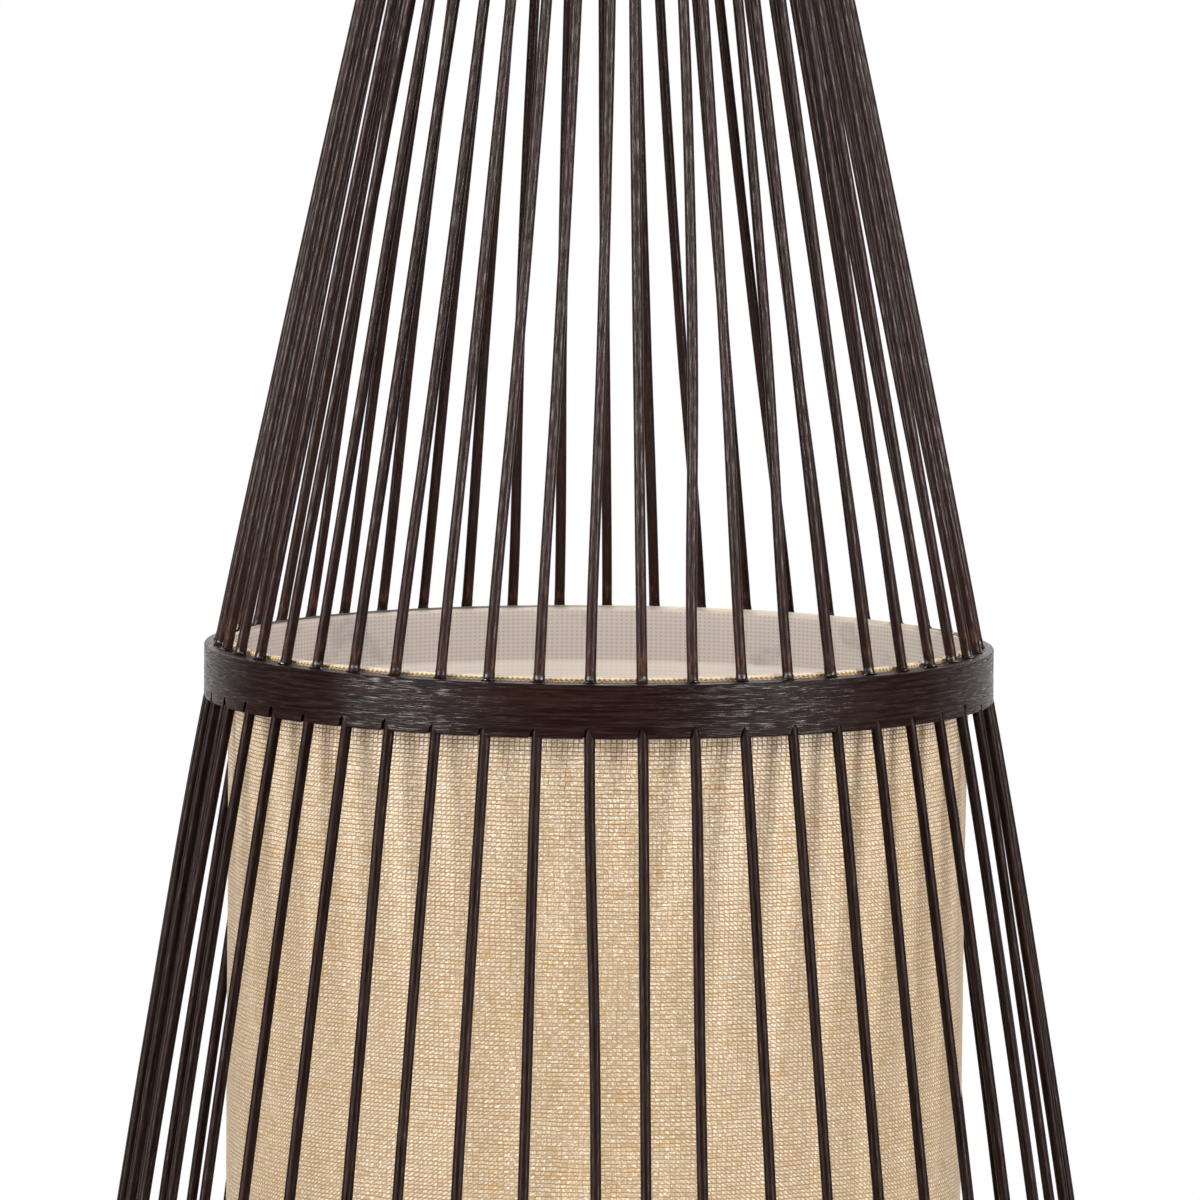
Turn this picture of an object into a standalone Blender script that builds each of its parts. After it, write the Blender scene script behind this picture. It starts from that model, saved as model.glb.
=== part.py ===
"""Cone-shaped floor lamp: a cage of bowed rods around a fabric drum shade.

Forty-eight slim rods stand in a bentwood hoop on the floor, run through slanted holes in a
second hoop, and meet in a small ring at the top.  The second hoop also holds the top of the
shade.  A steel bar across the bottom hoop carries a tube, an E27 lampholder and a bulb.

Metres, +Z up.  The origin is on the floor under the lamp's axis, and -Y is the front.
Angles go round the axis from the front towards +X.
"""
import math
import random

import bmesh
import bpy
from mathutils import Matrix, Vector

# ---- driving dimensions -------------------------------------------------------------------

GAP = 0.0003               # clearance between pieces that touch

ROD_COUNT = 48
ROUND = 18                 # flats round a small turned piece
ROD_RADIUS = 0.0019
HOLE_RADIUS = 0.0025
TOP_HOLE_RADIUS = 0.0024   # the holes stand closest in the top ring
HOLE_SIDES = 6
SPAN_STEPS = 4             # straight stretches of a rod between two rings
ZONE = 0.003               # a rod stays straight this far outside each ring

HOOP_TOP = 0.480
HOOP_HEIGHT = 0.0186
HOOP_OUTER = 0.140
HOOP_INNER = 0.1317
ROD_AT_HOOP = 0.1346       # from the axis to a rod's centre, at the hoop's top face
HOOP_SLOPE = 0.20          # how far a rod leans out for each metre it drops, in the hoop

UPPER_SLOPE = 0.207        # the same, just above the hoop
UPPER_CURVE = 0.03         # and how the slope grows towards the top
LOWER_SLOPE = 0.183
LOWER_CURVE = 0.075

TOP_BOTTOM = 0.902         # underside of the top ring
TOP_HEIGHT = 0.016
TOP_WALL = 0.012
TOP_HOLE_DEPTH = 0.010
TOP_TWIST = math.radians(4.0)

BASE_HEIGHT = 0.022
BASE_WALL = 0.010
BASE_HOLE_DEPTH = 0.014

SHADE_RADIUS = 0.1314
SHADE_TOP = HOOP_TOP + 0.001
SHADE_HEIGHT = 0.340
FABRIC = 0.0007
LINER = 0.0006

WIRE_RADIUS = 0.0015
SPOKE_RADIUS = 0.00125
SPIDER_HUB_INNER = 0.0203
SPIDER_HUB_OUTER = 0.0245
SPIDER_RISE = 0.0025       # wire centre above the shade's lower edge
SPOKES = 3

BAR_BOTTOM = 0.006
BAR_THICKNESS = 0.004
BAR_WIDTH = 0.025
BAR_TAB = 0.013            # height of the bent-up ends
TUBE_RADIUS = 0.008
HOLDER_BOTTOM = 0.112
HOLDER_SOCKET = 0.0144     # radius of the lampholder's bore
HOLDER_FLOOR = 0.1290

CAP_BOTTOM = 0.1321
CAP_TOP = 0.1600
CAP_RADIUS = 0.0131
GLOBE_RADIUS = 0.030
GLOBE_CENTRE = 0.208
GLASS = 0.0010

GLAND_HEIGHT = 0.011       # height of the cord hole's centre
GLAND_SLOT = 24.5          # the gland sits midway between two rods at the back
GLAND_HOLE = 0.006
GLAND_FLANGE = 0.008
GLAND_BORE = 0.004

# How far each front rod bows sideways at the middle of a span, towards +X, in millimetres.
# The first value is the rod six places to the left of the front one.
FRONT_START = -6
UPPER_BOWS = (-1.5, -2, 0, -0.5, 1, 0, 0.5, -2.5, 4, -0.5, 3, -2, -1.5, 1, -0.5, 1)
LOWER_BOWS = (-1.5, -0.5, 2, -0.5, -1, 1, 4.5, -0.5, -3, 0.5, 0, -0.5, -1.5, -0.5, 0.5, 1)
WANDER = 1.8               # largest bow of the other rods, in millimetres
BULGE = 1.2                # largest bow towards or away from the axis, in millimetres
MILLIMETRE = 0.001

SHARP = math.radians(35)   # edges sharper than this stay crisp

# name: (colour, roughness, metallic)
MATERIALS = {
    "rod_wood": ((0.030, 0.018, 0.014), 0.38, 0.0),
    "hoop_wood": ((0.032, 0.019, 0.015), 0.42, 0.0),
    "linen": ((0.64, 0.50, 0.31), 0.85, 0.0),
    "liner": ((0.78, 0.73, 0.68), 0.60, 0.0),
    "steel": ((0.035, 0.033, 0.032), 0.45, 0.6),
    "wire": ((0.80, 0.79, 0.76), 0.40, 0.0),
    "bakelite": ((0.025, 0.025, 0.027), 0.35, 0.0),
    "brass": ((0.72, 0.60, 0.36), 0.30, 1.0),
    "solder": ((0.62, 0.62, 0.62), 0.40, 1.0),
    "opal_glass": ((0.90, 0.89, 0.86), 0.25, 0.0),
}


# ---- helpers ------------------------------------------------------------------------------

def clear_scene():
    """Start from an empty file."""
    for item in list(bpy.data.objects):
        bpy.data.objects.remove(item, do_unlink=True)


def material(name):
    """Return the named Principled material, made on first use."""
    found = bpy.data.materials.get(name)
    if found:
        return found
    colour, roughness, metallic = MATERIALS[name]
    made = bpy.data.materials.new(name)
    made.use_nodes = True
    shader = made.node_tree.nodes["Principled BSDF"]
    shader.inputs["Base Color"].default_value = (*colour, 1.0)
    shader.inputs["Roughness"].default_value = roughness
    shader.inputs["Metallic"].default_value = metallic
    made.diffuse_color = (*colour, 1.0)
    return made


def place(name, data, finish, parent):
    """Make an object from mesh or curve data and hang it on its parent empty."""
    item = bpy.data.objects.new(name, data)
    bpy.context.collection.objects.link(item)
    item.parent = parent
    data.materials.append(material(finish))
    if item.type == "MESH":
        data.shade_smooth()
        data.set_sharp_from_angle(angle=SHARP)
    return item


def empty(name, parent=None):
    """An empty on the lamp's axis that holds the pieces of one body."""
    item = bpy.data.objects.new(name, None)
    bpy.context.collection.objects.link(item)
    item.parent = parent
    return item


def mesh_from(bm, name):
    """Finish a bmesh as a mesh whose faces point out."""
    bmesh.ops.recalc_face_normals(bm, faces=bm.faces)
    data = bpy.data.meshes.new(name)
    bm.to_mesh(data)
    bm.free()
    return data


def turned(name, profile, steps):
    """Turn a closed profile of (radius, height) points about Z.

    Where the profile runs along the axis it makes no face.
    """
    bm = bmesh.new()
    points = [bm.verts.new((radius, 0, height)) for radius, height in profile]
    edges = []
    for start, end in zip(points, points[1:] + points[:1]):
        if start.co.x > 0 or end.co.x > 0:
            edges.append(bm.edges.new((start, end)))
    bmesh.ops.spin(bm, geom=points + edges, cent=(0, 0, 0), axis=(0, 0, 1),
                   angle=2 * math.pi, steps=steps, use_merge=True)
    bmesh.ops.remove_doubles(bm, verts=bm.verts, dist=1e-6)
    return mesh_from(bm, name)


def ring(name, outer, inner, bottom, top, steps=ROD_COUNT):
    """A plain hoop of rectangular section, whose inner flats touch the inner circle."""
    corner = inner / math.cos(math.pi / steps)
    profile = ((outer, top), (outer, bottom), (corner, bottom), (corner, top))
    return turned(name, profile, steps)


def add_rod(bm, start, end, radius, sides):
    """Add a closed cylinder between two points."""
    line = end - start
    turn = line.to_track_quat("Z", "Y").to_matrix().to_4x4()
    middle = Matrix.Translation((start + end) / 2)
    bmesh.ops.create_cone(bm, cap_ends=True, segments=sides, radius1=radius, radius2=radius,
                          depth=line.length, matrix=middle @ turn)


def on_angle(angle, radius, height, sideways=0.0):
    """The point at an angle from the front, moved sideways along the tangent."""
    outward = Vector((math.sin(angle), -math.cos(angle), 0))
    tangent = Vector((math.cos(angle), math.sin(angle), 0))
    return outward * radius + tangent * sideways + Vector((0, 0, height))


def helper(name, bm):
    """A cutter or a guide, kept out of the model itself."""
    item = bpy.data.objects.new(name, mesh_from(bm, name))
    bpy.context.collection.objects.link(item)
    item.hide_render = True
    item.display_type = "WIRE"
    return item


def combine(item, other, operation):
    """Join another shape to an item, or cut it away."""
    modifier = item.modifiers.new(other.name, "BOOLEAN")
    modifier.operation = operation
    modifier.solver = "EXACT"
    modifier.object = other


# ---- the rods' path -----------------------------------------------------------------------

HOOP_BOTTOM = HOOP_TOP - HOOP_HEIGHT
UPPER_START = HOOP_TOP + ZONE
UPPER_END = TOP_BOTTOM - ZONE
LOWER_START = HOOP_BOTTOM - ZONE
LOWER_END = BASE_HEIGHT + ZONE


def hoop_radius(height):
    """A rod's distance from the axis on its straight way through the hoop."""
    return ROD_AT_HOOP + HOOP_SLOPE * (HOOP_TOP - height)


def rod_radius(height):
    """A rod's distance from the axis between the rings."""
    if height > UPPER_START:
        rise = height - UPPER_START
        return hoop_radius(UPPER_START) - UPPER_SLOPE * rise - UPPER_CURVE * rise ** 2
    if height < LOWER_START:
        drop = LOWER_START - height
        return hoop_radius(LOWER_START) + LOWER_SLOPE * drop - LOWER_CURVE * drop ** 2
    return hoop_radius(height)


def top_radius(height):
    """A rod's distance from the axis in its hole in the top ring."""
    slope = UPPER_SLOPE + 2 * UPPER_CURVE * (UPPER_END - UPPER_START)
    return rod_radius(UPPER_END) - slope * (height - UPPER_END)


def base_radius(height):
    """A rod's distance from the axis in its hole in the base hoop."""
    slope = LOWER_SLOPE - 2 * LOWER_CURVE * (LOWER_START - LOWER_END)
    return rod_radius(LOWER_END) + slope * (LOWER_END - height)


def rod_bows():
    """Sideways bows in the upper and the lower span and outward bows, for every rod."""
    wander = random.Random(48)
    bows = []
    for index in range(ROD_COUNT):
        upper = wander.uniform(-WANDER, WANDER)
        lower = wander.uniform(-WANDER, WANDER)
        bulges = (wander.uniform(-BULGE, BULGE), wander.uniform(-BULGE, BULGE))
        place_in_front = (index - FRONT_START) % ROD_COUNT
        if place_in_front < len(UPPER_BOWS):
            upper = UPPER_BOWS[place_in_front]
            lower = LOWER_BOWS[place_in_front]
        bows.append(((upper, bulges[0]), (lower, bulges[1])))
    return bows


def span_points(angle, start, end, twist, bow):
    """Points of a bowed rod strictly between two heights."""
    points = []
    sideways, outward = bow
    for step in range(1, SPAN_STEPS):
        share = step / SPAN_STEPS
        height = start + (end - start) * share
        swell = math.sin(math.pi * share) * MILLIMETRE
        radius = rod_radius(height) + outward * swell
        points.append(on_angle(angle + twist * share, radius, height, sideways * swell))
    return points


def rod_path(index, bows):
    """All points of one rod, from its upper end to its lower end."""
    angle = 2 * math.pi * index / ROD_COUNT
    upper_bow, lower_bow = bows[index]
    top_end = TOP_BOTTOM + TOP_HOLE_DEPTH - 2 * GAP
    low_end = BASE_HEIGHT - BASE_HOLE_DEPTH + 2 * GAP
    path = [on_angle(angle + TOP_TWIST, top_radius(top_end), top_end),
            on_angle(angle + TOP_TWIST, top_radius(UPPER_END), UPPER_END)]
    path += reversed(span_points(angle, UPPER_START, UPPER_END, TOP_TWIST, upper_bow))
    path += [on_angle(angle, hoop_radius(UPPER_START), UPPER_START),
             on_angle(angle, hoop_radius(LOWER_START), LOWER_START)]
    path += span_points(angle, LOWER_START, LOWER_END, 0.0, lower_bow)
    path += [on_angle(angle, base_radius(LOWER_END), LOWER_END),
             on_angle(angle, base_radius(low_end), low_end)]
    return path


def make_rods(parent):
    """The cage: every rod is one piece from the base hoop to the top ring."""
    bows = rod_bows()
    for index in range(ROD_COUNT):
        name = f"rod_{index + 1:02d}"
        curve = bpy.data.curves.new(name, "CURVE")
        curve.dimensions = "3D"
        curve.bevel_depth = ROD_RADIUS
        curve.bevel_resolution = 1
        curve.use_fill_caps = True
        path = rod_path(index, bows)
        spline = curve.splines.new("POLY")
        spline.points.add(len(path) - 1)
        for point, position in zip(spline.points, path):
            point.co = (*position, 1.0)
        place(name, curve, "rod_wood", parent)


# ---- hoops and rings ----------------------------------------------------------------------

def rod_holes(name, radius_at, low, high, twist=0.0, size=HOLE_RADIUS):
    """One slanted cutter for each rod, between two heights."""
    bm = bmesh.new()
    for index in range(ROD_COUNT):
        angle = 2 * math.pi * index / ROD_COUNT + twist
        start = on_angle(angle, radius_at(low), low)
        end = on_angle(angle, radius_at(high), high)
        add_rod(bm, start, end, size, HOLE_SIDES)
    return helper(name, bm)


def make_hoops(parent):
    """The three rings that the rods are set in, each flat face centred on a rod."""
    half_flat = math.pi / ROD_COUNT
    overrun = 2 * ZONE

    mid = place("mid_hoop", ring("mid_hoop", HOOP_OUTER, HOOP_INNER, HOOP_BOTTOM, HOOP_TOP),
                "hoop_wood", parent)
    mid.rotation_euler.z = half_flat
    combine(mid, rod_holes("mid_hoop_holes", hoop_radius, HOOP_BOTTOM - overrun,
                           HOOP_TOP + overrun), "DIFFERENCE")

    middle = top_radius(TOP_BOTTOM + TOP_HEIGHT / 2)
    top = place("top_ring", ring("top_ring", middle + TOP_WALL / 2, middle - TOP_WALL / 2,
                                 TOP_BOTTOM, TOP_BOTTOM + TOP_HEIGHT), "hoop_wood", parent)
    top.rotation_euler.z = half_flat + TOP_TWIST
    combine(top, rod_holes("top_ring_holes", top_radius, TOP_BOTTOM - overrun,
                           TOP_BOTTOM + TOP_HOLE_DEPTH, TOP_TWIST, TOP_HOLE_RADIUS),
            "DIFFERENCE")

    outer, inner = base_walls()
    base = place("base_hoop", ring("base_hoop", outer, inner, 0, BASE_HEIGHT), "hoop_wood",
                 parent)
    base.rotation_euler.z = half_flat
    combine(base, rod_holes("base_hoop_holes", base_radius, BASE_HEIGHT - BASE_HOLE_DEPTH,
                            BASE_HEIGHT + overrun), "DIFFERENCE")
    bm = bmesh.new()
    angle = gland_angle()
    add_rod(bm, on_angle(angle, inner - overrun, GLAND_HEIGHT),
            on_angle(angle, outer + overrun, GLAND_HEIGHT), GLAND_HOLE, ROUND)
    combine(base, helper("base_cord_hole", bm), "DIFFERENCE")


def base_walls():
    """The base hoop's outer and inner radius, with the rods' feet midway between them."""
    middle = base_radius(BASE_HEIGHT / 2)
    return middle + BASE_WALL / 2, middle - BASE_WALL / 2


# ---- the shade ----------------------------------------------------------------------------

def make_shade(parent):
    """A drum of fabric bonded to a plastic liner, and the wire spider that it stands on."""
    bottom = SHADE_TOP - SHADE_HEIGHT
    flat = math.cos(math.pi / ROD_COUNT)
    liner_outer = SHADE_RADIUS - FABRIC - GAP
    liner_inner = liner_outer * flat - LINER
    layers = (("shade_cover", SHADE_RADIUS, SHADE_RADIUS * flat - FABRIC, "linen"),
              ("shade_liner", liner_outer, liner_inner, "liner"))
    for name, outer, inner, finish in layers:
        layer = place(name, ring(name, outer, inner, bottom, SHADE_TOP), finish, parent)
        layer.rotation_euler.z = math.pi / ROD_COUNT
    make_spider(parent, bottom + SPIDER_RISE, liner_inner - 2 * GAP - WIRE_RADIUS)


def make_spider(parent, height, wire_circle):
    """A wire ring with three spokes to a flat hub that drops over the lampholder."""
    section = []
    for side in range(6):
        turn = -2 * math.pi * side / 6
        section.append((wire_circle + WIRE_RADIUS * math.cos(turn),
                        height + WIRE_RADIUS * math.sin(turn)))
    spider = place("shade_spider", turned("shade_spider", section, ROD_COUNT), "wire", parent)

    hub = bmesh.new()
    hub.from_mesh(ring("spider_hub", SPIDER_HUB_OUTER, SPIDER_HUB_INNER,
                       height - SPOKE_RADIUS, height + SPOKE_RADIUS, ROUND))
    combine(spider, helper("spider_hub", hub), "UNION")

    middle_of_hub = (SPIDER_HUB_OUTER + SPIDER_HUB_INNER) / 2
    for spoke in range(SPOKES):
        angle = math.pi + 2 * math.pi * spoke / SPOKES
        bm = bmesh.new()
        add_rod(bm, on_angle(angle, middle_of_hub, height),
                on_angle(angle, wire_circle, height), 0.9 * SPOKE_RADIUS, 8)
        combine(spider, helper(f"spider_spoke_{spoke + 1}", bm), "UNION")


# ---- the stand and the lampholder ---------------------------------------------------------

def make_stand(parent):
    """A flat bar with bent-up ends across the base hoop, and the tube welded on it."""
    inner = base_walls()[1] * math.cos(math.pi / ROD_COUNT)
    reach = math.sqrt((inner - GAP) ** 2 - (BAR_WIDTH / 2) ** 2)
    inside = reach - BAR_THICKNESS
    bar_top = BAR_BOTTOM + BAR_THICKNESS
    tab_top = BAR_BOTTOM + BAR_TAB
    outline = ((-reach, BAR_BOTTOM), (reach, BAR_BOTTOM), (reach, tab_top), (inside, tab_top),
               (inside, bar_top), (-inside, bar_top), (-inside, tab_top), (-reach, tab_top))
    bm = bmesh.new()
    face = bm.faces.new([bm.verts.new((x, -BAR_WIDTH / 2, z)) for x, z in outline])
    moved = bmesh.ops.extrude_face_region(bm, geom=[face])["geom"]
    far_side = [item for item in moved if isinstance(item, bmesh.types.BMVert)]
    bmesh.ops.translate(bm, verts=far_side, vec=(0, BAR_WIDTH, 0))
    stand = place("lamp_stand", mesh_from(bm, "lamp_stand"), "steel", parent)

    bm = bmesh.new()
    add_rod(bm, Vector((0, 0, BAR_BOTTOM + BAR_THICKNESS / 2)),
            Vector((0, 0, HOLDER_BOTTOM - GAP)), TUBE_RADIUS, ROUND)
    combine(stand, helper("stand_tube", bm), "UNION")


def make_lampholder(parent):
    """The E27 lampholder, with the shoulder and collar that grip the spider's hub."""
    hub = SHADE_TOP - SHADE_HEIGHT + SPIDER_RISE
    groove_low = hub - SPOKE_RADIUS - 2 * GAP
    groove_high = hub + SPOKE_RADIUS + 2 * GAP
    groove = SPIDER_HUB_INNER - 2 * GAP
    profile = (
        (0, HOLDER_BOTTOM), (TUBE_RADIUS, HOLDER_BOTTOM), (TUBE_RADIUS, 0.118),
        (0.0185, 0.126), (0.0185, 0.1365), (0.0225, 0.1380), (0.0225, groove_low),
        (groove, groove_low), (groove, groove_high), (0.0255, groove_high),
        (0.0255, 0.1535), (0.0172, 0.1535), (0.0172, 0.1575),
        (HOLDER_SOCKET, 0.1575), (HOLDER_SOCKET, HOLDER_FLOOR), (0, HOLDER_FLOOR),
    )
    place("lampholder", turned("lampholder", profile, ROUND), "bakelite", parent)


def gland_angle():
    """Where the cord leaves the base hoop."""
    return 2 * math.pi * GLAND_SLOT / ROD_COUNT


def make_gland(parent):
    """The bush that lines the cord hole in the base hoop, with its flange inside."""
    outer, inner = base_walls()
    spigot = GLAND_HOLE - 0.0004
    seat = inner - 2 * GAP
    back = seat - 0.0025
    mouth = outer - 2 * GAP
    profile = ((GLAND_BORE, back), (GLAND_FLANGE - 0.001, back), (GLAND_FLANGE, seat),
               (spigot, seat), (spigot, mouth), (GLAND_BORE, mouth))
    gland = place("cable_gland", turned("cable_gland", profile, ROUND), "bakelite", parent)
    gland.location.z = GLAND_HEIGHT
    outward = on_angle(gland_angle(), 1, 0)
    gland.rotation_euler = outward.to_track_quat("Z", "Y").to_euler()


# ---- the bulb -----------------------------------------------------------------------------

def globe_side(shrink):
    """One side of the glass, from the neck up to the pole, moved in by shrink."""
    side = [(0.0128 - shrink, 0.1603), (0.0137 - shrink, 0.1670), (0.0160 - shrink, 0.1760)]
    for step in range(6):
        lift = math.radians(-50 + 24 * step)
        side.append(((GLOBE_RADIUS - shrink) * math.cos(lift),
                     GLOBE_CENTRE + (GLOBE_RADIUS - shrink) * math.sin(lift)))
    side.append((0, GLOBE_CENTRE + GLOBE_RADIUS - shrink))
    return side


def make_bulb(contact_parent, bulb_parent):
    """Contact button, screw cap and glass.  The cap and the glass turn on the axis."""
    contact = ((0, 0.1300), (0.0040, 0.1300), (0.0047, 0.1306), (0.0047, 0.1318), (0, 0.1318))
    place("bulb_contact", turned("bulb_contact", contact, ROUND), "solder", contact_parent)

    wall = 0.0010
    cap = (
        (0, CAP_BOTTOM), (0.0060, CAP_BOTTOM), (0.0086, 0.1345), (CAP_RADIUS, 0.1370),
        (CAP_RADIUS, CAP_TOP), (CAP_RADIUS - wall, CAP_TOP), (CAP_RADIUS - wall, 0.1380),
        (0.0080, 0.1355), (0, 0.1340),
    )
    place("bulb_cap", turned("bulb_cap", cap, ROUND), "brass", bulb_parent)

    glass = globe_side(0.0) + globe_side(GLASS)[::-1]
    place("bulb_globe", turned("bulb_globe", glass, ROUND), "opal_glass", bulb_parent)


def main():
    """Build the whole lamp."""
    clear_scene()
    lamp = empty("lamp")
    bulb_lift = empty("bulb_lift_axis", lamp)
    bulb_turn = empty("bulb_turn_axis", bulb_lift)
    make_rods(lamp)
    make_hoops(lamp)
    make_shade(lamp)
    make_stand(lamp)
    make_lampholder(lamp)
    make_gland(lamp)
    make_bulb(bulb_lift, bulb_turn)


main()
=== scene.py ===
"""Looks of the rod-cage floor lamp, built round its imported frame.

Metres, +Z up, -Y is the front.  Angles go round the lamp's axis from the front towards +X.
Every piece has a UV map in metres: first along the grain or the weft, then across it.
Powers are in watts, azimuths and elevations in SOFTBOXES in degrees.
"""

import math
import random

import bmesh
import bpy
from mathutils import Matrix, Vector, noise


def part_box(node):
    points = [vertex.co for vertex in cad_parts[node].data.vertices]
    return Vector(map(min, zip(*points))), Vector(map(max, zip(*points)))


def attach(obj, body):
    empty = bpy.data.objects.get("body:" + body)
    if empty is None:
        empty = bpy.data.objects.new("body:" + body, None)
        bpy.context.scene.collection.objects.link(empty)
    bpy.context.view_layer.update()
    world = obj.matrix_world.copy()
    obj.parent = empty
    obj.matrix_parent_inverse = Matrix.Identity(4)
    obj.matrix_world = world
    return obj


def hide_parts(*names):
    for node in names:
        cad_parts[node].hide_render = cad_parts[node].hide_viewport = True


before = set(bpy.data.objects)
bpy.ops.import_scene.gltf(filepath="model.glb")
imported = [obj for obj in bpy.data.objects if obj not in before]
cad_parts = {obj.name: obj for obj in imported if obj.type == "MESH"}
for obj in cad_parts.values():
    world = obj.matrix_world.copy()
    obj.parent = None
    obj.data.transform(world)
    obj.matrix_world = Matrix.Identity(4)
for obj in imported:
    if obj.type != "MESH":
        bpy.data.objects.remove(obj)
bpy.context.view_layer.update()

TAU = 2 * math.pi
SHARP = math.radians(35)                  # an edge that turns more than this stays sharp

# ---- places and sizes, read from the frame ------------------------------------------------

ROD_NAMES = sorted(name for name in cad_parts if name.startswith("rod_"))
ROD_COUNT = len(ROD_NAMES)
ROD_RADIUS = 0.0019
BORE_RADIUS = 0.0021                      # of the rods' blind holes in the top ring and the base
FLAT = math.cos(math.pi / ROD_COUNT)      # a CAD ring's flats, as a share of its corners' radius

HOOP_LOW, HOOP_TOP = (corner.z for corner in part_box("mid_hoop"))
HOOP_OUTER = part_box("mid_hoop")[1].x / FLAT
HOOP_WALL = 0.0083

SHADE_LOW, SHADE_TOP = (corner.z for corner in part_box("shade_cover"))
SHADE_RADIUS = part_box("shade_cover")[1].x / FLAT
LINER_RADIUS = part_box("shade_liner")[1].x / FLAT
SHADE_GIRTH = TAU * SHADE_RADIUS

TOP_LOW, TOP_HIGH = (corner.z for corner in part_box("top_ring"))
TOP_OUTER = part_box("top_ring")[1].x / FLAT
TOP_WALL = 0.012
BASE_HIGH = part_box("base_hoop")[1].z
BASE_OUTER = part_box("base_hoop")[1].x / FLAT
BASE_WALL = 0.010

WARP_COUNT = round(SHADE_GIRTH / 0.00185) # the threads that run up and down
WARP = SHADE_GIRTH / WARP_COUNT           # their spacing
WEFT = 0.00143                            # spacing of the threads that run round

SCREW_PITCH = 0.00363                     # of the bulb's thread


def on_angle(angle, radius, height):
    """The point at an angle from the front, at a distance from the axis and a height."""
    return Vector((math.sin(angle) * radius, -math.cos(angle) * radius, height))


def smooth_step(low, high, value):
    """0 up to low, 1 from high on, a smooth change between them; low may be the higher one."""
    share = min(1.0, max(0.0, (value - low) / (high - low)))
    return share * share * (3 - 2 * share)


# ---- materials ----------------------------------------------------------------------------

class Graph:
    """The node tree of a material or of the world, put together with short calls."""

    def __init__(self, name, kind="materials", output="ShaderNodeOutputMaterial"):
        self.owner = getattr(bpy.data, kind).new(name)
        self.owner.use_nodes = True
        self.tree = self.owner.node_tree
        self.tree.nodes.clear()
        self.output = self.add(output)

    def add(self, kind, inputs=None, **settings):
        """Add a node, set its properties, and set or link its inputs."""
        node = self.tree.nodes.new(kind)
        for key, value in settings.items():
            setattr(node, key, value)
        for key, value in (inputs or {}).items():
            self.put(node.inputs[key], value)
        return node

    def put(self, socket, value):
        """Link another node's output to a socket, or set the socket's own value."""
        if isinstance(value, bpy.types.NodeSocket):
            self.tree.links.new(value, socket)
        else:
            socket.default_value = value

    def calc(self, operation, *values, clamp=False):
        """One step of arithmetic."""
        node = self.add("ShaderNodeMath", operation=operation, use_clamp=clamp)
        for socket, value in zip(node.inputs, values):
            self.put(socket, value)
        return node.outputs[0]

    def times(self, value, factor):
        return self.calc("MULTIPLY", value, factor)

    def plus(self, value, other):
        return self.calc("ADD", value, other)

    def rise(self, value, low, high, start=0.0, end=1.0):
        """A smooth change from start to end as value goes from low to high."""
        node = self.add("ShaderNodeMapRange", interpolation_type="SMOOTHSTEP",
                        inputs={"Value": value, "From Min": low, "From Max": high,
                                "To Min": start, "To Max": end})
        return node.outputs[0]

    def vector(self, x, y, z=0.0):
        return self.add("ShaderNodeCombineXYZ", {"X": x, "Y": y, "Z": z}).outputs[0]

    def metres(self):
        """The two coordinates of the UV map, in metres."""
        place = self.add("ShaderNodeUVMap", uv_map="metres").outputs[0]
        parts = self.add("ShaderNodeSeparateXYZ", {"Vector": place})
        return parts.outputs[0], parts.outputs[1]

    def place(self):
        """The point in the lamp's frame, as a vector and as its height."""
        point = self.add("ShaderNodeTexCoord").outputs["Object"]
        return point, self.add("ShaderNodeSeparateXYZ", {"Vector": point}).outputs[2]

    def noise(self, vector, scale=1.0, detail=2.0, roughness=0.5):
        node = self.add("ShaderNodeTexNoise", {"Vector": vector, "Scale": scale,
                                               "Detail": detail, "Roughness": roughness})
        return node.outputs[0]

    def chance(self, x, y, z=0.0):
        """A random number that changes only where one of its whole-number inputs does."""
        node = self.add("ShaderNodeTexWhiteNoise", {"Vector": self.vector(x, y, z)})
        return node.outputs[0]

    def mix(self, factor, first, second):
        """A colour between two others."""
        node = self.add("ShaderNodeMix", data_type="RGBA")
        self.put(node.inputs[0], factor)
        self.put(node.inputs[6], first)
        self.put(node.inputs[7], second)
        return node.outputs[2]

    def bump(self, height, distance, strength=1.0):
        node = self.add("ShaderNodeBump", {"Height": height, "Distance": distance,
                                           "Strength": strength})
        return node.outputs[0]

    def surface(self, **inputs):
        """A Principled shader; an input's name is written with _ for each space."""
        named = {key.replace("_", " "): value for key, value in inputs.items()}
        return self.add("ShaderNodeBsdfPrincipled", named).outputs[0]

    def see_through(self, skin, share, **inputs):
        """A surface that lets a share of the light shine through it, diffused."""
        through = self.add("ShaderNodeBsdfTranslucent", inputs).outputs[0]
        return self.add("ShaderNodeMixShader", {0: share, 1: skin, 2: through}).outputs[0]

    def finish(self, shader):
        """Make the shader the surface, and give the material or world."""
        self.put(self.output.inputs["Surface"], shader)
        return self.owner


def rgb(red, green, blue):
    return (red, green, blue, 1.0)


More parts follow.
